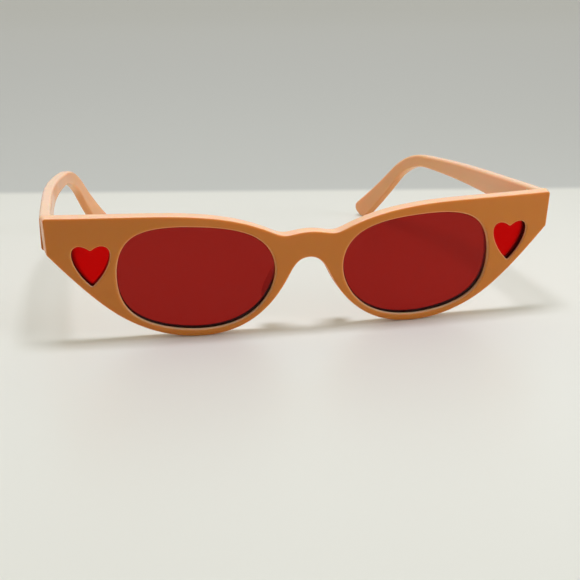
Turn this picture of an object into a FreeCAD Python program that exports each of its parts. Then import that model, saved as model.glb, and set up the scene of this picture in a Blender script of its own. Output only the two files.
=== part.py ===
# Sunglasses: a moulded front with tinted lenses and heart windows, and two folding temples.
# Millimetres. Every piece is drawn square to the front: x across, y back from the face, z up from
# the brow line. All pieces then lean together until rims and temple tips stand on one level.
import FreeCAD, Part
import math
import os
import Sketcher

Vector = FreeCAD.Vector

SIZES = [
    ("lens_gap", 20.5, "between the two lens openings"),
    ("lens_width", 45.4, "lens opening across"),
    ("lens_height", 31.6, "lens opening from top to bottom"),
    ("lens_drop", 3.8, "brow line to the top of the lens opening"),
    ("rim_width", 2.2, "rim below the lens opening"),
    ("lens_thickness", 2.0, "lens from face to back"),
    ("lens_recess", 1.0, "front face to lens face"),
    ("lens_bite", 0.6, "how far the lens runs into its groove"),
    ("lens_bevel", 0.85, "bevel along both lens edges"),
    ("heart_gap", 1.6, "lens opening to heart opening"),
    ("heart_width", 10.8, "heart opening across"),
    ("heart_height", 12.2, "heart opening from lobes to point"),
    ("heart_drop", 8.5, "brow line to the top of the heart"),
    ("heart_rim", 4.6, "heart's point to the underside's pole below it"),
    ("heart_corner", 0.7, "rounding of the heart opening's notch and point"),
    ("heart_lip", 0.8, "front face to the face of the heart pane"),
    ("heart_bite", 0.6, "how far the heart pane runs into its groove"),
    ("heart_thickness", 2.4, "heart pane from face to back"),
    ("end_margin", 7.15, "heart opening to the end of the front"),
    ("end_height", 11.0, "height of the front's end"),
    ("end_draft", 0.5, "how far the end leans in at its foot"),
    ("end_flare", 0.9, "how far the end spreads from face to back"),
    ("bridge_drop", 6.9, "brow line to the top of the bridge"),
    ("bridge_height", 7.95, "bridge from top to underside"),
    ("front_thickness", 4.0, "front from face to back"),
    ("face_radius", 711.0, "curve of the front seen from above"),
    ("edge_round", 0.6, "rounding along the front's outline"),
    ("lens_round", 0.8, "rounding along the lens openings"),
    ("heart_round", 0.5, "rounding along the heart openings"),
    ("corner_round", 0.9, "rounding of the front's end corners"),
    ("fit", 0.04, "clearance between fixed pieces"),
    ("temple_thickness", 3.3, "temple across at the hinge"),
    ("tip_thickness", 3.0, "temple across at its tip"),
    ("hinge_end_height", 10.2, "temple height at the hinge"),
    ("bend_height", 3.9, "temple height at the ear bend"),
    ("tip_height", 7.2, "temple height at its tip"),
    ("temple_drop", 0.5, "brow line to the top of the temple"),
    ("temple_straight", 13.8, "straight run behind the butt face"),
    ("temple_reach", 104.0, "butt face to the ear bend"),
    ("tip_length", 40.0, "ear bend to the end of the tip"),
    ("temple_slope", 6.4, "fall of the temple in degrees"),
    ("ear_angle", 42.5, "turn at the ear bend in degrees"),
    ("ear_radius", 30.0, "radius of the ear bend"),
    ("tip_inset", 22.5, "how far the tips lean in"),
    ("temple_round", 0.9, "rounding along the temple"),
    ("butt_round", 0.3, "rounding round the butt face"),
    ("butt_gap", 0.2, "front to temple butt at the end"),
    ("wire_size", 1.2, "core wire across"),
    ("wire_wall", 0.15, "plastic between hinge leaf and core wire"),
    ("wire_margin", 7.0, "core wire's end to the temple's end"),
    ("hinge_drop", 5.1, "brow line to the middle of the hinge"),
    ("knuckle_radius", 1.25, "hinge knuckle outside radius"),
    ("knuckle_height", 1.0, "pitch of the knuckles along the axis"),
    ("knuckle_gap", 0.06, "gap between neighbouring knuckles"),
    ("swing_gap", 0.3, "knuckle to the other leaf"),
    ("leaf_thickness", 1.0, "hinge leaf plate"),
    ("front_leaf", 9.5, "length of the leaf in the front"),
    ("temple_leaf", 8.0, "length of the leaf in the temple"),
    ("screw_radius", 0.65, "hinge screw shank"),
    ("screw_fit", 0.05, "clearance round the screw"),
    ("screw_tail", 0.2, "shank below the last knuckle"),
    ("head_radius", 1.15, "screw head"),
    ("head_height", 0.8, "screw head"),
    ("slot_width", 0.35, "driver slot"),
    ("slot_depth", 0.4, "driver slot"),
    ("pad_length", 16.0, "nose pad along the rim"),
    ("pad_width", 3.2, "nose pad across the rim"),
    ("pad_depth", 5.0, "nose pad behind the front"),
    ("pad_flare", 0.8, "how far the pad leans out towards its end"),
    ("pad_tilt", 30.0, "lean of the pad from upright in degrees"),
    ("pad_drop", 22.5, "brow line to the middle of the pad"),
]
KNUCKLES = 5

doc = FreeCAD.newDocument("sunglasses")
sheet = doc.addObject("Spreadsheet::Sheet", "sizes")
for row, (alias, value, meaning) in enumerate(SIZES, start=1):
    sheet.set(f"A{row}", meaning)
    sheet.set(f"B{row}", str(value))
    sheet.setAlias(f"B{row}", alias)
doc.recompute()


def size(alias):
    """A driving size from the sheet."""
    return float(sheet.get(alias))


# Places worked out from the driving sizes
lens_inner = size("lens_gap") / 2
lens_middle = lens_inner + size("lens_width") / 2
lens_outer = lens_inner + size("lens_width")
lens_level = -size("lens_drop") - size("lens_height") / 2
lens_bottom = -size("lens_drop") - size("lens_height")
heart_middle = lens_outer + size("heart_gap") + size("heart_width") / 2
heart_foot = -size("heart_drop") - size("heart_height") - size("heart_rim")
front_end = heart_middle + size("heart_width") / 2 + size("end_margin")
end_reach = front_end + 2 * size("end_flare")
front_height = -lens_bottom + size("rim_width")
arch_level = -size("bridge_drop") - size("bridge_height")
face_radius = size("face_radius")
back_radius = face_radius - size("front_thickness")


def back_of_front(x):
    """Depth of the front's back surface at a place across it."""
    return face_radius - math.sqrt(back_radius ** 2 - x ** 2)


butt = back_of_front(front_end) + size("butt_gap")
stand_off = size("knuckle_radius") + size("swing_gap")
temple_inner = front_end + size("end_flare") - size("temple_thickness")
axis_x = temple_inner - stand_off
axis_turn_radius = back_radius - stand_off
axis_y = face_radius - math.sqrt(axis_turn_radius ** 2 - axis_x ** 2)
leaf_turn = math.degrees(math.asin(axis_x / axis_turn_radius))
stack_height = KNUCKLES * size("knuckle_height")
axis_base = Vector(axis_x, axis_y, -size("hinge_drop"))

FRONT_VIEW = FreeCAD.Rotation(Vector(1, 0, 0), 90)
SIDE_VIEW = FreeCAD.Rotation(Vector(1, 1, 1), 120)
TOP_VIEW = FreeCAD.Rotation()
ACROSS = Vector(1, 0, 0)
BACK = Vector(0, 1, 0)
UP = Vector(0, 0, 1)


# Drawing helpers
def sketch(name, view, curves):
    """A closed outline drawn in one of the three views."""
    outline = doc.addObject("Sketcher::SketchObject", name)
    outline.Placement = FreeCAD.Placement(Vector(), view)
    outline.addGeometry(curves)
    return outline


def spline(poles, closed=False):
    """Smooth curve steered by a few poles."""
    curve = Part.BSplineCurve()
    curve.buildFromPoles([Vector(u, v, 0) for u, v in poles], closed, 3)
    return curve


def line(start, end):
    """Straight side between two places of a view."""
    return Part.LineSegment(Vector(*start, 0), Vector(*end, 0))


def rounded_polygon(corners):
    """Closed outline of straight sides, each corner given with its own rounding radius."""
    points = [Vector(u, v, 0) for u, v, _ in corners]
    radii = [radius for _, _, radius in corners]
    ends = []
    arcs = []
    for index, (corner, radius) in enumerate(zip(points, radii)):
        before = (points[index - 1] - corner).normalize()
        after = (points[(index + 1) % len(points)] - corner).normalize()
        half_angle = before.getAngle(after) / 2
        setback = radius / math.tan(half_angle)
        ends.append((corner + before * setback, corner + after * setback))
        if radius:
            bisector = (before + after).normalize()
            crown = corner + bisector * (radius / math.sin(half_angle) - radius)
            arcs.append(Part.Arc(ends[-1][0], crown, ends[-1][1]))
    sides = [Part.LineSegment(ends[index - 1][1], ends[index][0]) for index in range(len(ends))]
    return sides + arcs


def extrude(name, outline, direction, forward, backward="0"):
    """Solid made by drawing an outline out along a direction."""
    solid = doc.addObject("Part::Extrusion", name)
    solid.Base = outline
    solid.DirMode = "Custom"
    solid.Dir = direction
    solid.Solid = True
    solid.setExpression("LengthFwd", forward)
    solid.setExpression("LengthRev", backward)
    return solid


def combine(kind, name, base, tool):
    """Cut or Common of two solids."""
    result = doc.addObject("Part::" + kind, name)
    result.Base = base
    result.Tool = tool
    return result


def group(name, members):
    """Several separate solids used as one tool."""
    result = doc.addObject("Part::Compound", name)
    result.Links = members
    return result


def fuse(name, members):
    """One solid from several that overlap or share faces."""
    result = doc.addObject("Part::MultiFuse", name)
    result.Shapes = members
    return result


def mirrored(name, source):
    """The left twin of a right-hand solid."""
    twin = doc.addObject("Part::Mirroring", name)
    twin.Source = source
    twin.Normal = ACROSS
    return twin


def dress_edges(kind, name, base, radius_of):
    """Fillet or Chamfer of the edges for which radius_of gives a size."""
    doc.recompute()
    result = doc.addObject("Part::" + kind, name)
    result.Base = base
    sized = [(number, radius_of(edge)) for number, edge in enumerate(base.Shape.Edges, start=1)]
    result.Edges = [(number, radius, radius) for number, radius in sized if radius]
    return result


def box(name, corner, length, width, height):
    """Block with one corner placed and its three sides bound to sizes."""
    block = doc.addObject("Part::Box", name)
    block.setExpression("Length", length)
    block.setExpression("Width", width)
    block.setExpression("Height", height)
    block.Placement.Base = corner
    return block


def cylinder(name, base, radius, height):
    """Upright cylinder with its radius and height bound to sizes."""
    drum = doc.addObject("Part::Cylinder", name)
    drum.setExpression("Radius", radius)
    drum.setExpression("Height", height)
    drum.Placement.Base = base
    return drum


def face_layer(name, near, far):
    """Layer of the curved front between two depths behind its face."""
    foot = Vector(0, face_radius, -2 * front_height)
    tall = "3 * (sizes.lens_drop + sizes.lens_height + sizes.rim_width)"
    outside = cylinder(name + "_outside", foot, f"sizes.face_radius - ({near})", tall)
    inside = cylinder(name + "_inside", foot, f"sizes.face_radius - ({far})", tall)
    return combine("Cut", name, outside, inside)


def through_front(name, outline):
    """A front-view outline drawn right through the front's whole depth."""
    return extrude(name, outline, BACK, "5 * sizes.front_thickness", "sizes.front_thickness")


# Outlines seen from the front
LENS_POLES = [
    (1.054, -0.053), (0.928, 0.989), (0.015, 1.020), (-0.853, 0.835),
    (-1.099, 0.037), (-0.754, -0.835), (-0.034, -1.082), (0.848, -0.797),
]
HEART_POLES = [(0, -0.127), (0.333, 0), (0.828, 0.025), (1.161, -0.235), (0.615, -0.762), (0, -1.01)]
# Shares of half the lens gap across and of the bridge's drop, or the arch's rise, in height
BROW_AT_BRIDGE = [(0, 1), (0.30, 1), (0.74, 1.232), (1.13, 0.877)]
UNDERSIDE_AT_BRIDGE = [(0, 1), (0.34, 1), (0.59, 0.713), (1.09, 0.307)]
# Shares of half the lens width across and of the bridge's drop, or the lens height, in height
BROW_AT_LENS = [(-0.476, 0.319), (0.220, 0.015), (0.978, 0.029)]
UNDERSIDE_AT_LENS = [(-0.564, 0.047), (0.009, -0.028), (0.736, 0.082)]
UNDERSIDE_RISE = 1.2


def lens_outline(name, grow):
    """Right lens opening, or the same grown all round."""
    across = size("lens_width") / 2 + grow
    tall = size("lens_height") / 2 + grow
    poles = [(lens_middle + u * across, lens_level + v * tall) for u, v in LENS_POLES]
    return sketch(name, FRONT_VIEW, [spline(poles, closed=True)])


def heart_outline(name, grow):
    """Right heart opening, or the same grown all round."""
    across = size("heart_width") / 2 + grow
    tall = size("heart_height") + 2 * grow
    top = -size("heart_drop") + grow
    halves = []
    for side in (1, -1):
        poles = [(heart_middle + side * u * across, top + v * tall) for u, v in HEART_POLES]
        halves.append(spline(poles))
    return sketch(name, FRONT_VIEW, halves)


def front_outline():
    """Brow, ends and underside of the front, drawn for the right and turned over for the left."""
    half_lens = size("lens_width") / 2
    brow = [(u * lens_inner, -v * size("bridge_drop")) for u, v in BROW_AT_BRIDGE]
    brow += [(lens_middle + u * half_lens, -v * size("bridge_drop")) for u, v in BROW_AT_LENS]
    brow.append((end_reach, 0))

    arch_rise = arch_level - lens_bottom
    tall = size("lens_height")
    foot_rise = UNDERSIDE_RISE * (end_reach - front_end + size("end_draft"))
    foot = (end_reach, foot_rise - size("end_height"))
    underside = [(u * lens_inner, lens_bottom + v * arch_rise) for u, v in UNDERSIDE_AT_BRIDGE]
    underside += [(lens_middle + u * half_lens, v * tall - front_height) for u, v in UNDERSIDE_AT_LENS]
    underside += [(heart_middle, heart_foot), foot]

    curves = []
    for side in (1, -1):
        curves.append(spline([(side * u, v) for u, v in brow]))
        curves.append(line((side * end_reach, 0), (side * foot[0], foot[1])))
        curves.append(spline([(side * u, v) for u, v in underside]))
    return sketch("front_outline", FRONT_VIEW, curves)


# The front
EDGE_SAMPLES = 5
TOUCH = 0.001


def trim_ends(blank):
    """Cut both ends to planes that spread towards the back and lean in at the foot."""
    face_depth = face_radius - math.sqrt(face_radius ** 2 - front_end ** 2)
    spread = math.degrees(math.atan2(size("end_flare"), size("front_thickness")))
    lean_in = math.degrees(math.atan2(size("end_draft"), size("end_height")))
    corner = Vector(0, -4 * size("front_thickness"), -2 * size("end_height"))
    block = box("end_trim", corner, "sizes.end_margin", "10 * sizes.front_thickness",
                "4 * sizes.end_height")
    turn = FreeCAD.Rotation(UP, -spread) * FreeCAD.Rotation(BACK, lean_in)
    block.Placement = FreeCAD.Placement(Vector(front_end, face_depth, 0), turn) * block.Placement
    blocks = group("end_trims", [block, mirrored("end_trim_twin", block)])
    return combine("Cut", "front_trimmed", blank, blocks)


def is_end_corner(edge):
    """True along the four corners at the ends of the front's blank."""
    middle = edge.CenterOfMass
    return edge.BoundBox.YLength > size("front_thickness") and abs(middle.x) > heart_middle


def lies_at_depth(edge, depth):
    """True for an edge that runs along the curved surface at one depth behind the face."""
    points = edge.discretize(EDGE_SAMPLES)
    gaps = [math.hypot(point.x, point.y - face_radius) - face_radius + depth for point in points]
    return max(abs(gap) for gap in gaps) < TOUCH


def opening_radius(edge):
    """Rounding for an edge round a lens or heart opening, or nothing for any other edge."""
    bounds = edge.BoundBox
    nearest = min(abs(bounds.XMin), abs(bounds.XMax))
    furthest = max(abs(bounds.XMin), abs(bounds.XMax))
    margin = size("rim_width") / 4
    level = bounds.ZMin > lens_bottom - margin and bounds.ZMax < -size("lens_drop") + margin
    if level and nearest > lens_inner - margin and furthest < lens_outer + margin:
        return size("lens_round")
    below = bounds.ZMax < -size("heart_drop") + margin
    if below and nearest > lens_outer + margin and furthest < front_end - size("end_margin") + margin:
        return size("heart_round")
    return 0


def outline_radius(edge):
    """Rounding for the front's outline along its face and back."""
    on_surface = lies_at_depth(edge, 0) or lies_at_depth(edge, size("front_thickness"))
    return size("edge_round") if on_surface else 0


def lip_radius(edge):
    """Rounding for the openings along the face."""
    return opening_radius(edge) if lies_at_depth(edge, 0) else 0


def corner_radius(edge):
    """Rounding for the end corners of the blank."""
    return size("corner_round") if is_end_corner(edge) else 0


def heart_corner_radius(edge):
    """Rounding for the notch and the point of the heart opening."""
    return size("heart_corner") if edge.BoundBox.YLength > size("front_thickness") else 0


def hinge_place(turn):
    """Placement on the right hinge axis, turned about it."""
    return FreeCAD.Placement(axis_base, FreeCAD.Rotation(UP, turn))


def front_leaf_plate(name, spare):
    """Plate of the front's hinge leaf, or the pocket for it when spare is above zero."""
    corner = Vector(size("knuckle_radius") - size("front_leaf"), -stand_off - size("leaf_thickness"),
                    -stack_height / 2) - Vector(spare, spare, spare)
    twice = f"2 * {spare}"
    plate = box(name, corner, f"sizes.front_leaf + {twice}", f"sizes.leaf_thickness + {twice}",
                f"{KNUCKLES} * sizes.knuckle_height + {twice}")
    plate.Placement = hinge_place(leaf_turn) * plate.Placement
    return plate


def make_front():
    """Curved plate with openings, lens and heart grooves and hinge pockets."""
    blank = through_front("front_blank", front_outline())
    cornered = dress_edges("Fillet", "front_corners", trim_ends(blank), corner_radius)
    plate = combine("Common", "front_plate", cornered,
                    face_layer("front_layer", "0", "sizes.front_thickness"))
    rounded = dress_edges("Fillet", "front_rounded", plate, outline_radius)

    heart = through_front("heart_opening_blank", heart_outline("heart_opening_outline", 0))
    openings = [through_front("lens_opening", lens_outline("lens_opening_outline", 0)),
                dress_edges("Fillet", "heart_opening", heart, heart_corner_radius)]
    openings += [mirrored(opening.Name + "_twin", opening) for opening in openings]
    opened = combine("Cut", "front_opened", rounded, group("front_openings", openings))
    lipped = dress_edges("Fillet", "front_lips", opened, lip_radius)

    fit = size("fit")
    groove = combine("Common", "lens_groove",
                     through_front("lens_groove_blank",
                                   lens_outline("lens_groove_outline", size("lens_bite") + fit)),
                     face_layer("lens_groove_layer", "sizes.lens_recess - sizes.fit",
                                "sizes.lens_recess + sizes.lens_thickness + sizes.fit"))
    heart_groove = combine("Common", "heart_groove",
                           through_front("heart_groove_blank",
                                         heart_outline("heart_groove_outline", size("heart_bite") + fit)),
                           face_layer("heart_groove_layer", "sizes.heart_lip - sizes.fit",
                                      "sizes.heart_lip + sizes.heart_thickness + sizes.fit"))
    recesses = [groove, heart_groove, front_leaf_plate("front_leaf_pocket", fit)]
    recesses += [mirrored(recess.Name + "_twin", recess) for recess in recesses]
    return combine("Cut", "frame_front", lipped, group("front_recesses", recesses))


def make_lens():
    """Curved lens with a bevel on both edges."""
    blank = combine("Common", "lens_blank",
                    through_front("lens_prism", lens_outline("lens_edge", size("lens_bite"))),
                    face_layer("lens_layer", "sizes.lens_recess",
                               "sizes.lens_recess + sizes.lens_thickness"))

    def bevel(edge):
        face = lies_at_depth(edge, size("lens_recess"))
        back = lies_at_depth(edge, size("lens_recess") + size("lens_thickness"))
        return size("lens_bevel") if face or back else 0

    return dress_edges("Chamfer", "lens_right", blank, bevel)


def make_heart_window():
    """Heart pane that sits in its own groove."""
    return combine("Common", "heart_window_right",
                   through_front("heart_prism", heart_outline("heart_edge", size("heart_bite"))),
                   face_layer("heart_layer", "sizes.heart_lip",
                              "sizes.heart_lip + sizes.heart_thickness"))


# Nose pads: shares of the pad's depth, length and width at each section
PAD_SECTIONS = [
    (-0.3, 0.92, 0.92), (0.3, 0.98, 1.0), (0.7, 0.9, 0.95), (0.92, 0.72, 0.7), (1.0, 0.45, 0.4),
]
PAD_SETBACK = 0.4


def make_nose_pad():
    """Pad that grows from the back of the rim beside the nose and leans outwards."""
    along = math.radians(size("pad_tilt"))
    rise = Vector(-math.sin(along), 0, math.cos(along))
    out = Vector(math.cos(along), 0, math.sin(along))
    root = Vector(lens_inner - PAD_SETBACK * size("pad_width"), 0, -size("pad_drop"))
    root.y = back_of_front(root.x)
    rings = []
    for depth, long_share, wide_share in PAD_SECTIONS:
        middle = root + BACK * (depth * size("pad_depth"))
        middle = middle + out * (max(depth, 0) ** 2 * size("pad_flare"))
        ring = doc.addObject("Sketcher::SketchObject", "pad_ring")
        ring.Placement = FreeCAD.Placement(Vector(0, middle.y, 0), FRONT_VIEW)
        tip = rise * (long_share * size("pad_length") / 2)
        flank = out * (wide_share * size("pad_width") / 2)
        ends = [Vector(place.x, place.z, 0) for place in (middle + tip, middle + flank, middle)]
        ring.addGeometry(Part.Ellipse(*ends))
        rings.append(ring)
    loft = doc.addObject("Part::Loft", "pad_loft")
    loft.Sections = rings
    loft.Solid = True
    behind = cylinder("behind_front", Vector(0, face_radius, -2 * front_height),
                      "sizes.face_radius - sizes.front_thickness",
                      "3 * (sizes.lens_drop + sizes.lens_height + sizes.rim_width)")
    return combine("Common", "nose_pad_right", loft, behind)


# Temples
TIP_ROUND_SHARE = 0.85
TIP_SLANT = 1.2
# Poles of the temple seen from above: shares of the tip's inset across and of the run's length
PLAN_POLES = [(-0.035, 0.33), (0.107, 0.70)]
PLAN_END = -1.15
ACROSS_SHARE = 0.8

slope = math.radians(size("temple_slope"))
tip_fall = slope + math.radians(size("ear_angle"))
root_level = -size("temple_drop") - size("hinge_end_height") / 2
bend = (butt + size("temple_reach"), root_level - size("temple_reach") * math.tan(slope))
tip_end = (bend[0] + size("tip_length") * math.cos(tip_fall),
           bend[1] - size("tip_length") * math.sin(tip_fall))
straight_end = butt + size("temple_straight")


def bend_corner(half_height):
    """Corner of the side view at the ear bend, off the middle line by half a height."""
    middle_normal = (slope + tip_fall) / 2
    reach = half_height / math.cos(math.radians(size("ear_angle")) / 2)
    return (bend[0] + reach * math.sin(middle_normal), bend[1] + reach * math.cos(middle_normal))


def tip_corner(half_height, back_off=0.0):
    """Corner of the side view at the tip's end, drawn back along the tip when asked."""
    return (tip_end[0] - back_off * math.cos(tip_fall) + half_height * math.sin(tip_fall),
            tip_end[1] + back_off * math.sin(tip_fall) + half_height * math.cos(tip_fall))


def temple_side():
    """Side view of the temple: tapered run, ear bend and rounded tip."""
    bend_half = size("bend_height") / 2
    tip_half = size("tip_height") / 2
    tip_round = TIP_ROUND_SHARE * tip_half
    half_root = size("hinge_end_height") / 2
    corners = [
        (butt, root_level + half_root, 0),
        (*bend_corner(bend_half), size("ear_radius") + bend_half),
        (*tip_corner(tip_half), tip_round),
        (*tip_corner(-tip_half), tip_round),
        (*bend_corner(-bend_half), size("ear_radius") - bend_half),
        (butt, root_level - half_root, 0),
    ]
    return sketch("temple_side", SIDE_VIEW, rounded_polygon(corners))


def wire_side(name, half, back_off):
    """Side view of the core wire along the temple's middle line."""
    corners = [
        (butt, root_level + half, 0),
        (*bend_corner(half), size("ear_radius") + half),
        (*tip_corner(half, back_off), 0),
        (*tip_corner(-half, back_off), 0),
        (*bend_corner(-half), size("ear_radius") - half),
        (butt, root_level - half, 0),
    ]
    return sketch(name, SIDE_VIEW, rounded_polygon(corners))


def plan_edge(offset, tip_offset):
    """One edge of the temple seen from above: straight past the hinge, then drawn in to the tip."""
    inset = size("tip_inset")
    past_tip = tip_end[0] + size("tip_height")
    run = past_tip - straight_end
    start = temple_inner + offset
    middle = [(start + u * inset, straight_end + v * run) for u, v in PLAN_POLES]
    return [(start, straight_end)] + middle + [(temple_inner + tip_offset + PLAN_END * inset, past_tip)]


def plan_band(name, near, near_tip, far, far_tip):
    """Band between an inner and an outer edge seen from above."""
    inner = plan_edge(near, near_tip)
    outer = plan_edge(far, far_tip)
    curves = [
        line((inner[0][0], butt), inner[0]),
        spline(inner),
        line(inner[-1], outer[-1]),
        spline(outer),
        line(outer[0], (outer[0][0], butt)),
        line((outer[0][0], butt), (inner[0][0], butt)),
    ]
    return sketch(name, TOP_VIEW, curves)


def side_by_plan(name, side, plan):
    """Solid that has one outline from the side and another from above."""
    reach = "sizes.lens_gap + sizes.lens_width + sizes.heart_width"
    slab = extrude(name + "_slab", side, ACROSS, f"2 * ({reach})")
    band = extrude(name + "_band", plan, UP, "sizes.temple_reach", "sizes.temple_reach")
    return combine("Common", name, slab, band)


def temple_radius(edge):
    """Rounding for the temple: small round the butt face, full along the rest."""
    if edge.BoundBox.YMax < butt + TOUCH:
        return size("butt_round")
    runs_across = edge.BoundBox.XLength > ACROSS_SHARE * edge.Length
    return 0 if runs_across else size("temple_round")


def wire_solid(name, spare):
    """Core wire, or its channel in the temple when spare is above zero."""
    half = size("wire_size") / 2 + spare
    middle = size("leaf_thickness") + size("wire_wall") + size("wire_size") / 2
    tip_middle = size("temple_thickness") / 2
    side = wire_side(name + "_side", half, size("wire_margin") - spare)
    plan = plan_band(name + "_plan", middle - half, tip_middle - half, middle + half, tip_middle + half)
    return side_by_plan(name, side, plan)


def temple_leaf_plate(name, spare):
    """Plate of the temple's hinge leaf, or the pocket for it when spare is above zero."""
    corner = Vector(stand_off - spare, butt - axis_y, -stack_height / 2 - spare)
    plate = box(name, corner, f"sizes.leaf_thickness + 2 * {spare}", f"sizes.temple_leaf + {spare}",
                f"{KNUCKLES} * sizes.knuckle_height + 2 * {spare}")
    plate.Placement = hinge_place(0) * plate.Placement
    return plate


def make_temple():
    """Tapered temple with a bent tip, a pocket for the hinge leaf and a channel for the wire."""
    thin = TIP_SLANT * size("tip_thickness") / 2
    middle = size("temple_thickness") / 2
    plan = plan_band("temple_plan", 0, middle - thin, size("temple_thickness"), middle + thin)
    blank = side_by_plan("temple_blank", temple_side(), plan)
    rounded = dress_edges("Fillet", "temple_rounded", blank, temple_radius)
    fit = size("fit")
    hollow = group("temple_hollows", [temple_leaf_plate("temple_leaf_pocket", fit),
                                      wire_solid("wire_channel", fit)])
    return combine("Cut", "temple_right", rounded, hollow)


def make_core_wire():
    """Stiffening wire inside the temple."""
    return wire_solid("core_wire_right", 0.0)


# Hinges
SLOT_TURN = 40


def knuckle_foot(level):
    """Underside of one knuckle above the middle of the hinge."""
    return level * size("knuckle_height") - stack_height / 2 + size("knuckle_gap") / 2


def make_leaf(name, plate, levels, web_corner, web_length, web_width, turn):
    """Hinge leaf: a plate, knuckles at the given levels, webs between them and the screw bore."""
    tall = "sizes.knuckle_height - sizes.knuckle_gap"
    pieces = [plate]
    for level in levels:
        foot = knuckle_foot(level)
        knuckle = cylinder(name + "_knuckle", Vector(0, 0, foot), "sizes.knuckle_radius", tall)
        web = box(name + "_web", web_corner + UP * foot, web_length, web_width, tall)
        for piece in (knuckle, web):
            piece.Placement = hinge_place(turn) * piece.Placement
            pieces.append(piece)
    bore = cylinder(name + "_bore", Vector(0, 0, -stack_height), "sizes.screw_radius + sizes.screw_fit",
                    f"{2 * KNUCKLES} * sizes.knuckle_height")
    bore.Placement = hinge_place(turn) * bore.Placement
    return combine("Cut", name, fuse(name + "_solid", pieces), bore)


def make_front_hinge():
    """Leaf let into the back of the front, with the outer and middle knuckles."""
    corner = Vector(-size("knuckle_radius"), -stand_off, 0)
    return make_leaf("front_hinge_right", front_leaf_plate("front_leaf_plate", 0), range(0, KNUCKLES, 2),
                     corner, "2 * sizes.knuckle_radius", "sizes.knuckle_radius + sizes.swing_gap",
                     leaf_turn)


def make_temple_hinge():
    """Leaf let into the inner side of the temple, with the knuckles between."""
    corner = Vector(0, butt - axis_y, 0)
    web_width = f"sizes.knuckle_radius + {axis_y - butt}"
    return make_leaf("temple_hinge_right", temple_leaf_plate("temple_leaf_plate", 0),
                     range(1, KNUCKLES, 2), corner, "sizes.knuckle_radius + sizes.swing_gap", web_width, 0)


def origin_plane(body, role):
    """One of a body's own origin planes or axes."""
    return next(feature for feature in body.Origin.OriginFeatures if feature.Role == role)


def body_sketch(body, name, role):
    """Sketch on one of a body's own origin planes."""
    drawing = body.newObject("Sketcher::SketchObject", name)
    drawing.AttachmentSupport = [(origin_plane(body, role), "")]
    drawing.MapMode = "FlatFace"
    return drawing


def hold(drawing, kind, first, second, expression):
    """Distance between two points of a sketch, bound to sizes."""
    number = drawing.addConstraint(Sketcher.Constraint(kind, *first, *second, 1.0))
    drawing.setExpression(f"Constraints[{number}]", expression)


def stepped_profile(drawing, steps):
    """Half section of a turned piece: radius and top of each step from the foot upwards."""
    origin = (-1, 1)
    places = [Vector(0, 0, 0)]
    for number, step in enumerate(steps, start=1):
        places += [Vector(number, number - 1, 0), Vector(number, number, 0)]
    places.append(Vector(0, len(steps), 0))
    for index, place in enumerate(places):
        drawing.addGeometry(Part.LineSegment(place, places[(index + 1) % len(places)]))
    count = len(places)
    for index in range(count):
        drawing.addConstraint(Sketcher.Constraint("Coincident", index, 2, (index + 1) % count, 1))
        direction = "Horizontal" if index % 2 == 0 else "Vertical"
        drawing.addConstraint(Sketcher.Constraint(direction, index))
    drawing.addConstraint(Sketcher.Constraint("Coincident", 0, 1, *origin))
    for number, (radius, top) in enumerate(steps):
        hold(drawing, "DistanceX", origin, (2 * number + 1, 1), radius)
        hold(drawing, "DistanceY", origin, (2 * number + 1, 2), top)


def make_screw():
    """Turned hinge screw with a slotted head, its foot at the body's own origin."""
    body = doc.addObject("PartDesign::Body", "hinge_screw_right")
    shank = f"{KNUCKLES} * sizes.knuckle_height - sizes.knuckle_gap / 2 + sizes.screw_tail"
    profile = body_sketch(body, "screw_profile", "XZ_Plane")
    stepped_profile(profile, [("sizes.screw_radius", shank),
                              ("sizes.head_radius", f"{shank} + sizes.head_height")])
    turned = body.newObject("PartDesign::Revolution", "screw_turned")
    turned.Profile = profile
    turned.ReferenceAxis = (origin_plane(body, "Z_Axis"), [""])
    turned.Angle = 360
    doc.recompute()

    slot = body_sketch(body, "screw_slot", "XY_Plane")
    slot.setExpression("AttachmentOffset.Base.z", f"{shank} + sizes.head_height")
    half_long = 2 * size("head_radius")
    half_wide = size("slot_width") / 2
    corners = [(-half_long, -half_wide), (half_long, -half_wide),
               (half_long, half_wide), (-half_long, half_wide)]
    slot.addGeometry([line(corners[index - 1], corners[index]) for index in range(len(corners))])
    doc.recompute()
    cut = body.newObject("PartDesign::Pocket", "screw_slot_cut")
    cut.Profile = slot
    cut.setExpression("Length", "sizes.slot_depth")
    body.Tip = cut
    foot = -stack_height / 2 - size("screw_tail")
    body.Placement = FreeCAD.Placement(axis_base + UP * foot, FreeCAD.Rotation(UP, SLOT_TURN))
    return body


# Standing pose
SURFACE_STEP = 0.02
LEAN_STEPS = 4


def lowest(points, lean):
    """Lowest of some places after a lean about the x axis."""
    return min(points, key=lambda point: point.y * math.sin(lean) + point.z * math.cos(lean))


def standing_pose(front, temple):
    """Placement that rests the rims and the temple tips on level ground, centred front to back."""
    front_points = front.Shape.tessellate(SURFACE_STEP)[0]
    temple_points = temple.Shape.tessellate(SURFACE_STEP)[0]
    lean = 0.0
    for _ in range(LEAN_STEPS):
        rim = lowest(front_points, lean)
        tip = lowest(temple_points, lean)
        lean = math.atan2(rim.z - tip.z, tip.y - rim.y)
    turn = FreeCAD.Rotation(ACROSS, math.degrees(lean))
    depths = [turn.multVec(point).y for point in front_points + temple_points]
    shift = Vector(0, -(min(depths) + max(depths)) / 2, -turn.multVec(rim).z)
    return FreeCAD.Placement(shift, turn)


def rebuild():
    """Work the document out again and name the first feature that fails."""
    doc.recompute()
    for item in doc.Objects:
        if "Invalid" in item.State or "Error" in item.State:
            raise RuntimeError(f"{item.Label} did not build: {item.State}")


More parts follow.
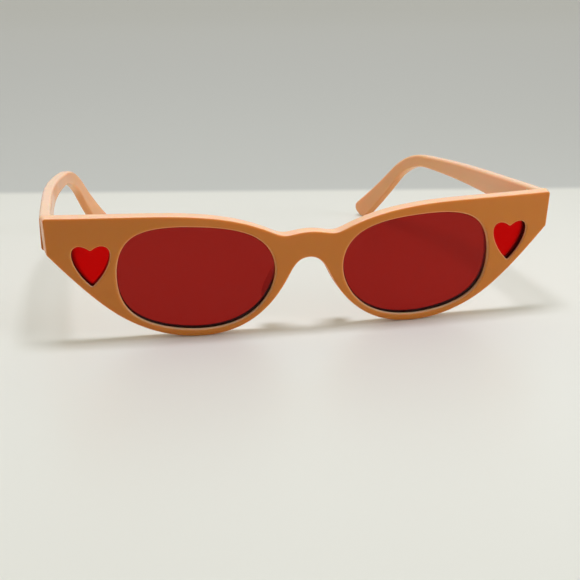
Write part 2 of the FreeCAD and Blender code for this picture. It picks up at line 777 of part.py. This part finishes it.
front = make_front()
temple_right = make_temple()
right_pieces = [make_lens(), make_heart_window(), make_nose_pad(), temple_right, make_core_wire(),
                make_front_hinge(), make_temple_hinge(), make_screw()]
rebuild()

pose = standing_pose(front, temple_right)
for piece in [front] + right_pieces:
    piece.Placement = pose * piece.Placement
left_pieces = [mirrored(piece.Name.replace("_right", "_left"), piece) for piece in right_pieces]
rebuild()

nodes = [front] + right_pieces + left_pieces
for node in nodes:
    if node.Shape.isNull() or not node.Shape.isValid():
        raise RuntimeError(f"{node.Label} has no valid solid")

os.makedirs("parts", exist_ok=True)
for node in nodes:
    node.Shape.exportStep(f"parts/{node.Label}.step")
    print(f"{node.Label}: {len(node.Shape.Solids)} solid, {node.Shape.Volume:.2f} cubic mm")
axis_place = pose.multVec(axis_base)
axis_way = pose.Rotation.multVec(UP)
print(f"lean {math.degrees(pose.Rotation.Angle):.3f} degrees")
print(f"right hinge at {axis_place.x:.4f}, {axis_place.y:.4f}, {axis_place.z:.4f}")
print(f"hinge axis {axis_way.x:.5f}, {axis_way.y:.5f}, {axis_way.z:.5f}")
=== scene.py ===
"""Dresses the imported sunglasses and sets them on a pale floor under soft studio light.

Metres throughout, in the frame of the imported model: x across the front, y from the front towards
the temple tips, z up from the floor that the rims and tips stand on. Angles are in degrees and
the power of a lamp is in watts.
"""
import logging
import math
from dataclasses import dataclass, field
from enum import Enum
from typing import Any, Optional, Protocol, Union

import bpy
from mathutils import Matrix, Vector


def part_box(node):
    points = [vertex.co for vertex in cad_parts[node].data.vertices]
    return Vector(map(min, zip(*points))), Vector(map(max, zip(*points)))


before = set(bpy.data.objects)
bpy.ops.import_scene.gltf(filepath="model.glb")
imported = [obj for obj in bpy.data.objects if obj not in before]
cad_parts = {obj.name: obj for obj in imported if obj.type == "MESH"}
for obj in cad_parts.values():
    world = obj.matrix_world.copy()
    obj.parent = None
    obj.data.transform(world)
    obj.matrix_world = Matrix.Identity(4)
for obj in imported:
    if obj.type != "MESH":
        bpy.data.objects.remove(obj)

log = logging.getLogger("sunglasses")

Colour = tuple[float, float, float]
Place = tuple[float, float, float]
Span = tuple[float, float]
Term = Union["Wire", float]

SIDEWAYS: Place = (1.0, 0.0, 0.0)
BACKWARDS: Place = (0.0, 1.0, 0.0)
UPWARDS: Place = (0.0, 0.0, 1.0)
DOWNWARDS: Place = (0.0, 0.0, -1.0)
LEVEL = 90.0


class Side(Enum):
    """The two halves of the sunglasses, as seen from the front."""

    LEFT = "left"
    RIGHT = "right"

    def node(self, stem: str) -> str:
        """Name of a paired solid on this side."""
        return f"{stem}_{self.value}"


class Wire:
    """A node's output that takes part in sums as a number does."""

    def __init__(self, board: "Board", socket: Optional[bpy.types.NodeSocket]) -> None:
        """Keep the socket and the board it is on."""
        self.board = board
        self.socket = socket

    def output(self, name: str | int) -> "Wire":
        """Another output of the same node."""
        return Wire(self.board, self.socket.node.outputs[name])

    def _sum(self, operation: str, first: Term, second: Term) -> "Wire":
        """Math node of two terms."""
        return self.board.node("ShaderNodeMath", {"operation": operation}, {0: first, 1: second})

    def __add__(self, other: Term) -> "Wire":
        """This plus another."""
        return self._sum("ADD", self, other)

    __radd__ = __add__

    def __sub__(self, other: Term) -> "Wire":
        """This less another."""
        return self._sum("SUBTRACT", self, other)

    def __rsub__(self, other: Term) -> "Wire":
        """Another less this."""
        return self._sum("SUBTRACT", other, self)

    def __mul__(self, other: Term) -> "Wire":
        """This times another."""
        return self._sum("MULTIPLY", self, other)

    __rmul__ = __mul__

    def __pow__(self, exponent: float) -> "Wire":
        """This raised to a power, or nothing where this is below zero."""
        return self._sum("POWER", self, exponent)

    def __abs__(self) -> "Wire":
        """This without its sign."""
        return self.board.node("ShaderNodeMath", {"operation": "ABSOLUTE"}, {0: self})


@dataclass(frozen=True)
class Grain:
    """Cloudy pattern, as clouds in a metre and the number of finer layers on them."""

    scale: float
    detail: float


class Board:
    """The nodes of one material or of the world."""

    def __init__(self, tree: bpy.types.NodeTree) -> None:
        """Start from an empty node tree."""
        self.tree = tree
        self.tree.nodes.clear()

    def node(self, kind: str, settings: dict[str, Any], sockets: dict[str | int, Any]) -> Wire:
        """Add one node.

        Args:
            kind: Blender's name of the node type.
            settings: properties of the node, set before its sockets.
            sockets: value or wire for each named or numbered input.

        Returns:
            The node's first output, or a wire without a socket for an end node.
        """
        made = self.tree.nodes.new(kind)
        for name, value in settings.items():
            setattr(made, name, value)
        for name, value in sockets.items():
            target = made.inputs[name]
            if isinstance(value, Wire):
                self.tree.links.new(value.socket, target)
            elif target.type == "RGBA":
                target.default_value = (*value, 1.0)
            else:
                target.default_value = value
        return Wire(self, made.outputs[0] if made.outputs else None)

    def place(self) -> Wire:
        """Where on the piece a point is, whatever pose the piece is in."""
        return self.node("ShaderNodeTexCoord", {}, {}).output("Object")

    def along(self, vector: Wire, way: Place) -> Wire:
        """How far a vector reaches along a way of length one."""
        sockets = {0: vector, 1: way}
        return self.node("ShaderNodeVectorMath", {"operation": "DOT_PRODUCT"}, sockets).output("Value")

    def noise(self, grain: Grain, place: Wire) -> Wire:
        """Cloudy values from 0 to 1, taken at a place on the piece."""
        sockets = {"Vector": place, "Scale": grain.scale, "Detail": grain.detail}
        return self.node("ShaderNodeTexNoise", {}, sockets)

    def span(self, value: Wire, ends: Span, results: Span = (0.0, 1.0)) -> Wire:
        """Stretch a value from one span to another, smoothly, with its ends held.

        Args:
            value: what is stretched.
            ends: values that give the first and the last result.
            results: the first and the last result.

        Returns:
            The stretched value.
        """
        sockets = {"Value": value, "From Min": ends[0], "From Max": ends[1],
                   "To Min": results[0], "To Max": results[1]}
        return self.node("ShaderNodeMapRange", {"interpolation_type": "SMOOTHSTEP"}, sockets)

    def blend(self, share: Term, first: Any, second: Any) -> Wire:
        """Mix of two colours.

        Args:
            share: 0 for the first colour, 1 for the second.
            first: colour or wire.
            second: colour or wire.

        Returns:
            The mixed colour.
        """
        mix = self.node("ShaderNodeMix", {"data_type": "RGBA"}, {0: share, 6: first, 7: second})
        return mix.output(2)

    def looks_along(self, way: Place) -> Wire:
        """How squarely the outside of the surface looks along a way.

        Args:
            way: direction of length one.

        Returns:
            1 where the surface looks along the way and -1 where it looks against it.
        """
        normal = self.node("ShaderNodeTexCoord", {}, {}).output("Normal")
        inside = self.node("ShaderNodeNewGeometry", {}, {}).output("Backfacing")
        return self.along(normal, way) * (1 - 2 * inside)

    def turn(self, square: Wire, starts: float, whole: float) -> Wire:
        """Share that grows as a surface turns from one angle to another.

        Args:
            square: how squarely the surface looks along some way.
            starts: turn off that way at which the share is 0.
            whole: turn off that way at which the share is 1.

        Returns:
            The share.
        """
        return self.span(square, (math.cos(math.radians(starts)), math.cos(math.radians(whole))))

    def bump(self, height: Wire, strength: float, depth: float) -> Wire:
        """Fine relief that only the light sees.

        Args:
            height: relief from 0 to 1.
            strength: share of the relief that shows.
            depth: depth of the relief.

        Returns:
            The surface normal.
        """
        sockets = {"Height": height, "Strength": strength, "Distance": depth}
        return self.node("ShaderNodeBump", {}, sockets)

    def close(self, shader: Wire) -> None:
        """Send a shader to the material's output."""
        self.node("ShaderNodeOutputMaterial", {}, {"Surface": shader})


def new_material(name: str) -> tuple[bpy.types.Material, Board]:
    """Start a material.

    Args:
        name: name of the finish.

    Returns:
        The material and its empty board.
    """
    material = bpy.data.materials.new(name)
    material.use_nodes = True
    return material, Board(material.node_tree)


class Finish(Protocol):
    """A named finish that can make its material."""

    name: str

    def make(self) -> bpy.types.Material:
        """Build the material."""


@dataclass(frozen=True)
class MouldedPlastic:
    """Opaque moulded plastic with light and shade painted into its colour: deep on its broad faces,
    paler at the sides, palest on top.

    Broad faces keep their colour up to face_turn and take the painted side light wholly from
    side_turn on. Sides take the painted top light from wall_turn, off upright, to crown_turn. Light
    enters to glow_depth, and reaches further in red than in blue.
    """

    name: str
    face_colour: Colour
    cloud_colour: Colour
    # Side and crown colours are painted light: paler sides and palest tops, where more light falls.
    lit_side_colour: Colour
    lit_top_colour: Colour
    roughness: float = 0.15
    rubbed_roughness: float = 0.22
    bend: float = 1.49
    gloss: float = 0.3
    glow: float = 0.5
    glow_depth: float = 0.0025
    glow_reach: Colour = (1.0, 0.4, 0.15)
    clouds: Grain = Grain(45.0, 3.0)
    cloud_span: Span = (0.3, 0.7)
    marks: Grain = Grain(160.0, 4.0)
    mark_span: Span = (0.35, 0.75)
    peel: Grain = Grain(700.0, 2.0)
    peel_strength: float = 0.35
    peel_depth: float = 0.000004
    face_turn: float = 14.0
    side_turn: float = 58.0
    wall_turn: float = 72.0
    crown_turn: float = 36.0

    def make(self) -> bpy.types.Material:
        """Build the material.

        Returns:
            The finished material.
        """
        material, board = new_material(self.name)
        place = board.place()
        cloud = board.span(board.noise(self.clouds, place), self.cloud_span)
        mark = board.noise(self.marks, place)
        peel = board.noise(self.peel, place)
        face = board.blend(cloud, self.face_colour, self.cloud_colour)
        # Painted light and shade: the broad faces keep the deep colour, the sides are painted paler
        # and the tops palest.
        side_light_share = board.turn(abs(board.looks_along(BACKWARDS)), self.face_turn, self.side_turn)
        top_light_share = board.turn(board.looks_along(UPWARDS), self.wall_turn, self.crown_turn)
        side = board.blend(top_light_share, self.lit_side_colour, self.lit_top_colour)
        board.close(board.node("ShaderNodeBsdfPrincipled", {}, {
            "Base Color": board.blend(side_light_share, face, side),
            "Roughness": board.span(mark, self.mark_span, (self.roughness, self.rubbed_roughness)),
            "IOR": self.bend,
            "Specular IOR Level": self.gloss,
            "Subsurface Weight": self.glow,
            "Subsurface Radius": self.glow_reach,
            "Subsurface Scale": self.glow_depth,
            "Normal": board.bump(peel, self.peel_strength, self.peel_depth),
        }))
        return material


@dataclass(frozen=True)
class TintedPane:
    """Clear dyed plastic, with painted shade along its ground edge and painted shadow, darkest where
    that edge looks down.

    The faces keep their dye up to face_turn and take the painted edge shade wholly from edge_turn
    on. The edge takes the painted sill shadow from wall_turn, off straight down, to sill_turn.
    """

    name: str
    colour: Colour
    shade: Colour
    # Edge and sill colours are painted shade: the groove's shade along the ground edge, near black
    # where it looks down.
    edge_shade_colour: Colour
    sill_shadow_colour: Colour = (0.008, 0.0, 0.0)
    roughness: float = 0.02
    smeared_roughness: float = 0.04
    bend: float = 1.22
    streaks: Grain = Grain(60.0, 2.0)
    smears: Grain = Grain(220.0, 3.0)
    smear_span: Span = (0.5, 0.9)
    face_turn: float = 18.0
    edge_turn: float = 36.0
    wall_turn: float = 98.0
    sill_turn: float = 72.0

    def dye(self, board: Board) -> Wire:
        """Colour of the clear plastic, with faint streaks."""
        return board.blend(board.noise(self.streaks, board.place()), self.colour, self.shade)

    def make(self) -> bpy.types.Material:
        """Build the material.

        Returns:
            The finished material.
        """
        material, board = new_material(self.name)
        smear = board.noise(self.smears, board.place())
        # Painted shade: the ground edge is darkened, and painted near black where it looks down into
        # the groove.
        sill = board.turn(board.looks_along(DOWNWARDS), self.wall_turn, self.sill_turn)
        rim = board.blend(sill, self.edge_shade_colour, self.sill_shadow_colour)
        edge = board.turn(abs(board.looks_along(BACKWARDS)), self.face_turn, self.edge_turn)
        board.close(board.node("ShaderNodeBsdfPrincipled", {}, {
            "Base Color": board.blend(edge, self.dye(board), rim),
            "Roughness": board.span(smear, self.smear_span, (self.roughness, self.smeared_roughness)),
            "IOR": self.bend,
            "Transmission Weight": 1.0,
        }))
        return material


@dataclass(frozen=True)
class HeartPane(TintedPane):
    """Dyed heart with painted shade along its outer edge, on either side of the sunglasses.

    The outer edge is taken from the box of the right pane: upright down to widest, a share of the
    pane's height, and from there drawn in to the heart's point with the power taper.
    """

    model: str = "heart_window_right"
    # Painted shade: the shade of the opening's wall, as seen through the pane along its outer edge.
    outer_shade_colour: Colour = (0.17, 0.0, 0.0)
    band: Span = (0.0006, 0.0023)
    widest: float = 0.2
    taper: float = 1.85

    def dye(self, board: Board) -> Wire:
        """Colour of the clear plastic, with painted shade along the outer edge.

        Args:
            board: board of the pane's material.

        Returns:
            The colour.
        """
        low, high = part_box(self.model)
        middle = (low[0] + high[0]) / 2
        across = abs(board.along(board.place(), SIDEWAYS)) - middle
        fall = (high[2] - board.along(board.place(), UPWARDS)) * (1 / (high[2] - low[2]))
        narrowing = ((fall - self.widest) * (1 / (1 - self.widest))) ** self.taper
        inside = (1 - narrowing) * (high[0] - middle) - across
        # Painted shade: darkest at the outer edge, fading inwards across the band.
        outer_shade_share = board.span(inside, self.band, (1.0, 0.0))
        return board.blend(outer_shade_share, super().dye(board), self.outer_shade_colour)


@dataclass(frozen=True)
class DrawnMetal:
    """Plated or bare metal with fine draw lines and scuffed patches.

    Across the draw lines the roughness is lined times what it is along them.
    """

    name: str
    colour: Colour
    worn_colour: Colour
    roughness: float = 0.26
    lined: float = 1.6
    lines: Grain = Grain(2400.0, 3.0)
    line_stretch: Place = (1.0, 1.0, 12.0)
    line_span: Span = (0.2, 0.8)
    line_strength: float = 0.2
    line_depth: float = 0.00001
    scuffs: Grain = Grain(700.0, 3.0)
    scuff_span: Span = (0.45, 0.7)

    def make(self) -> bpy.types.Material:
        """Build the material.

        Returns:
            The finished material.
        """
        material, board = new_material(self.name)
        place = board.place()
        drawn = board.node("ShaderNodeMapping", {}, {"Vector": place, "Scale": self.line_stretch})
        lines = board.noise(self.lines, drawn)
        wear = board.span(board.noise(self.scuffs, place), self.scuff_span)
        roughness = (self.roughness, self.lined * self.roughness)
        board.close(board.node("ShaderNodeBsdfPrincipled", {}, {
            "Base Color": board.blend(wear, self.colour, self.worn_colour),
            "Metallic": 1.0,
            "Roughness": board.span(lines, self.line_span, roughness),
            "Normal": board.bump(lines, self.line_strength, self.line_depth),
        }))
        return material


TAN_PLASTIC = MouldedPlastic(
    name="tan_plastic",
    face_colour=(0.64, 0.212, 0.026),
    cloud_colour=(0.62, 0.203, 0.022),
    # Side and crown colours are painted light on the sides and tops.
    lit_side_colour=(0.90, 0.43, 0.19),
    lit_top_colour=(0.86, 0.50, 0.275),
)
PAD_PLASTIC = MouldedPlastic(
    name="pad_plastic",
    face_colour=(0.62, 0.205, 0.026),
    cloud_colour=(0.60, 0.195, 0.022),
    # Side and crown colours are painted light on the sides and tops.
    lit_side_colour=(0.84, 0.38, 0.16),
    lit_top_colour=(0.80, 0.44, 0.24),
    roughness=0.24,
    rubbed_roughness=0.32,
)
LENS_TINT = TintedPane(
    name="lens_tint",
    colour=(0.32, 0.0095, 0.006),
    shade=(0.31, 0.0085, 0.005),
    # The edge colour is painted shade along the lens's ground edge.
    edge_shade_colour=(0.27, 0.008, 0.004),
)
HEART_TINT = HeartPane(
    name="heart_tint",
    colour=(0.57, 0.001, 0.001),
    shade=(0.54, 0.001, 0.001),
    # The edge colour is painted shade along the heart pane's ground edge.
    edge_shade_colour=(0.11, 0.0, 0.0),
    bend=1.1,
)
HINGE_METAL = DrawnMetal(
    name="hinge_metal",
    colour=(0.74, 0.56, 0.29),
    worn_colour=(0.52, 0.39, 0.21),
    roughness=0.2,
)
SCREW_METAL = DrawnMetal(
    name="screw_metal",
    colour=(0.80, 0.68, 0.46),
    worn_colour=(0.66, 0.54, 0.36),
    roughness=0.22,
)
CORE_METAL = DrawnMetal(
    name="core_metal",
    colour=(0.62, 0.61, 0.59),
    worn_colour=(0.55, 0.54, 0.52),
)


class FinishShelf:
    """Makes each finish once and gives it to the solids that wear it."""

    def __init__(self) -> None:
        """Start with an empty shelf."""
        self.made: dict[str, bpy.types.Material] = {}

    def dress(self, node: str, finish: Finish) -> None:
        """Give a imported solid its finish.

        Args:
            node: name of the solid.
            finish: finish for the whole solid.
        """
        if finish.name not in self.made:
            self.made[finish.name] = finish.make()
        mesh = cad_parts[node].data
        mesh.materials.clear()
        mesh.materials.append(self.made[finish.name])
        log.info("%s dressed in %s", node, finish.name)


@dataclass
class Front:
    """The moulded front with its two cemented nose pads."""

    plastic: MouldedPlastic = TAN_PLASTIC
    pads: MouldedPlastic = PAD_PLASTIC

    def dress(self, shelf: FinishShelf) -> None:
        """Dress the front and its pads.

        Args:
            shelf: where the finishes come from.
        """
        shelf.dress("frame_front", self.plastic)
        for side in Side:
            shelf.dress(side.node("nose_pad"), self.pads)


@dataclass
class Glazing:
    """The lens and the heart pane of one side."""

    side: Side
    lens: TintedPane = LENS_TINT
    heart: TintedPane = HEART_TINT

    def dress(self, shelf: FinishShelf) -> None:
        """Dress the lens and the heart pane from the shelf."""
        shelf.dress(self.side.node("lens"), self.lens)
        shelf.dress(self.side.node("heart_window"), self.heart)


@dataclass
class Temple:
    """One temple with the core wire inside it."""

    side: Side
    plastic: MouldedPlastic = TAN_PLASTIC
    wire: DrawnMetal = CORE_METAL

    def dress(self, shelf: FinishShelf) -> None:
        """Dress the temple and its wire from the shelf."""
        shelf.dress(self.side.node("temple"), self.plastic)
        shelf.dress(self.side.node("core_wire"), self.wire)


@dataclass
class Hinge:
    """The two leaves and the screw of one hinge."""

    side: Side
    leaf: DrawnMetal = HINGE_METAL
    screw: DrawnMetal = SCREW_METAL

    def dress(self, shelf: FinishShelf) -> None:
        """Dress the leaves and the screw.

        Args:
            shelf: where the finishes come from.
        """
        for leaf in ("front_hinge", "temple_hinge"):
            shelf.dress(self.side.node(leaf), self.leaf)
        shelf.dress(self.side.node("hinge_screw"), self.screw)


@dataclass
class Stage:
    """Pale satin floor with a soft grey backdrop painted on its far part.

    The backdrop starts at a soft line behind the sunglasses, square to the heading, and its paint
    grows paler up to even_distance, where less lamplight falls on it.
    """

    reach: float = 30.0
    backdrop_distance: float = 0.13
    even_distance: float = 1.3
    soft_line: float = 0.006
    heading: float = 11.6
    floor_colour: Colour = (0.69, 0.682, 0.583)
    backdrop_colour: Colour = (0.438, 0.443, 0.389)
    far_colour: Colour = (0.632, 0.653, 0.639)
    roughness: float = 0.35

    def build(self) -> bpy.types.Object:
        """Lay the floor under the rims and tips.

        Returns:
            The floor.
        """
        corners = [(-self.reach, -self.reach, 0), (self.reach, -self.reach, 0),
                   (self.reach, self.reach, 0), (-self.reach, self.reach, 0)]
        mesh = bpy.data.meshes.new("floor")
        mesh.from_pydata(corners, [], [range(len(corners))])
        floor = bpy.data.objects.new("floor", mesh)
        bpy.context.scene.collection.objects.link(floor)
        mesh.materials.append(self.paint())
        log.info("floor laid")
        return floor

    def paint(self) -> bpy.types.Material:
        """Floor colour near the sunglasses and backdrop colour beyond the line.

        Returns:
            The finished material.
        """
        material, board = new_material("floor_paint")
        turn = math.radians(self.heading)
        depth = board.along(board.place(), (math.sin(turn), math.cos(turn), 0.0))
        line = (self.backdrop_distance - self.soft_line, self.backdrop_distance + self.soft_line)
        fading = board.span(depth, (self.backdrop_distance, self.even_distance))
        backdrop = board.blend(fading, self.backdrop_colour, self.far_colour)
        board.close(board.node("ShaderNodeBsdfPrincipled", {}, {
            "Base Color": board.blend(board.span(depth, line), self.floor_colour, backdrop),
            "Roughness": self.roughness,
        }))
        return material


@dataclass(frozen=True)
class SoftLamp:
    """A soft rectangular lamp of daylight, which reflections show where it is mirrored."""

    name: str
    place: Place
    aim: Place
    long: float
    wide: float
    power: float
    beam: float = 180.0
    mirrored: bool = True
    colour: Colour = (0.79, 0.83, 1.0)

    def build(self) -> bpy.types.Object:
        """Hang the lamp and turn it to what it lights.

        Returns:
            The lamp.
        """
        data = bpy.data.lights.new(self.name, "AREA")
        data.shape = "RECTANGLE"
        data.size = self.long
        data.size_y = self.wide
        data.energy = self.power
        data.color = self.colour
        data.spread = math.radians(self.beam)
        lamp = bpy.data.objects.new(self.name, data)
        lamp.location = self.place
        lamp.visible_glossy = self.mirrored
        way = Vector(self.aim) - Vector(self.place)
        lamp.rotation_euler = way.to_track_quat("-Z", "Y").to_euler()
        bpy.context.scene.collection.objects.link(lamp)
        log.info("%s lit", self.name)
        return lamp


OVERHEAD_LAMP = SoftLamp(
    name="overhead_lamp",
    place=(0.0, -0.06, 0.95),
    aim=(0.0, -0.06, 0.0),
    long=0.44,
    wide=0.24,
    power=7.45,
)
SIDE_LAMP = SoftLamp(
    name="side_lamp",
    place=(0.50, -0.34, 0.22),
    aim=(0.07, -0.06, 0.02),
    long=0.30,
    wide=0.22,
    power=0.195,
    beam=60.0,
    mirrored=False,
)


@dataclass
class Studio:
    """An overhead lamp, a low lamp on the right and a warm room that is brighter at the back.

    The room's light grows from front_level to back_level as its direction turns to the bright
    side, over facing_span. Camera, reflections and clear pieces see a plain backdrop instead.
    """

    lamps: tuple[SoftLamp, ...] = (OVERHEAD_LAMP, SIDE_LAMP)
    bright_side: Place = (0.1, 0.95, 0.25)
    facing_span: Span = (-0.8, 0.9)
    front_level: float = 0.17
    back_level: float = 0.62
    room_colour: Colour = (1.0, 0.95, 0.77)
    seen_colour: Colour = (0.78, 0.78, 0.75)

    def build(self) -> None:
        """Hang the lamps and light the room."""
        for lamp in self.lamps:
            lamp.build()
        self.room()

    def room(self) -> None:
        """Light from all round, and a plain backdrop where it is seen."""
        world = bpy.data.worlds.new("studio")
        world.use_nodes = True
        bpy.context.scene.world = world
        board = Board(world.node_tree)
        way = board.node("ShaderNodeTexCoord", {}, {}).output("Generated")
        facing = board.along(way, tuple(Vector(self.bright_side).normalized()))
        level = board.span(facing, self.facing_span, (self.front_level, self.back_level))
        ray = board.node("ShaderNodeLightPath", {}, {})
        seen = ray.output("Is Camera Ray") + ray.output("Is Glossy Ray")
        seen = seen + ray.output("Is Transmission Ray")
        light = board.node("ShaderNodeBackground", {}, {"Color": self.room_colour, "Strength": level})
        plain = board.node("ShaderNodeBackground", {}, {"Color": self.seen_colour, "Strength": 1.0})
        mixed = board.node("ShaderNodeMixShader", {}, {0: seen, 1: light, 2: plain})
        board.node("ShaderNodeOutputWorld", {}, {"Surface": mixed})
        log.info("room lit")


@dataclass
class PhotoCamera:
    """Camera at the photograph's place and angle."""

    place: Place = (-0.0679, -0.3714, 0.1079)
    heading: float = 11.621
    down: float = 17.167
    roll: float = -0.519
    image_width: float = 580.0
    focal_pixels: float = 1100.0
    sensor_millimetres: float = 36.0
    nearest: float = 0.01

    def build(self) -> bpy.types.Object:
        """Set the camera up and make it the scene's.

        Returns:
            The camera.
        """
        data = bpy.data.cameras.new("photo_camera")
        data.sensor_width = self.sensor_millimetres
        data.lens = self.sensor_millimetres * self.focal_pixels / self.image_width
        data.clip_start = self.nearest
        camera = bpy.data.objects.new("photo_camera", data)
        bpy.context.scene.collection.objects.link(camera)
        turn = Matrix.Rotation(math.radians(-self.heading), 4, "Z")
        turn = turn @ Matrix.Rotation(math.radians(LEVEL - self.down), 4, "X")
        turn = turn @ Matrix.Rotation(math.radians(self.roll), 4, "Z")
        camera.matrix_world = Matrix.Translation(self.place) @ turn
        bpy.context.scene.camera = camera
        log.info("camera set")
        return camera


@dataclass
class Sunglasses:
    """The whole pair: the front, and on each side its glazing, temple and hinge."""

    shelf: FinishShelf = field(default_factory=FinishShelf)

    def dress(self) -> None:
        """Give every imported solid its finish."""
        Front().dress(self.shelf)
        for side in Side:
            Glazing(side).dress(self.shelf)
            Temple(side).dress(self.shelf)
            Hinge(side).dress(self.shelf)


def main() -> None:
    """Build the stage, the light and the camera, and dress the sunglasses."""
    logging.basicConfig(level=logging.INFO)
    bpy.context.scene.view_settings.view_transform = "Standard"
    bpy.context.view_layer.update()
    Stage().build()
    Studio().build()
    PhotoCamera().build()
    Sunglasses().dress()


if __name__ == "__main__":
    main()
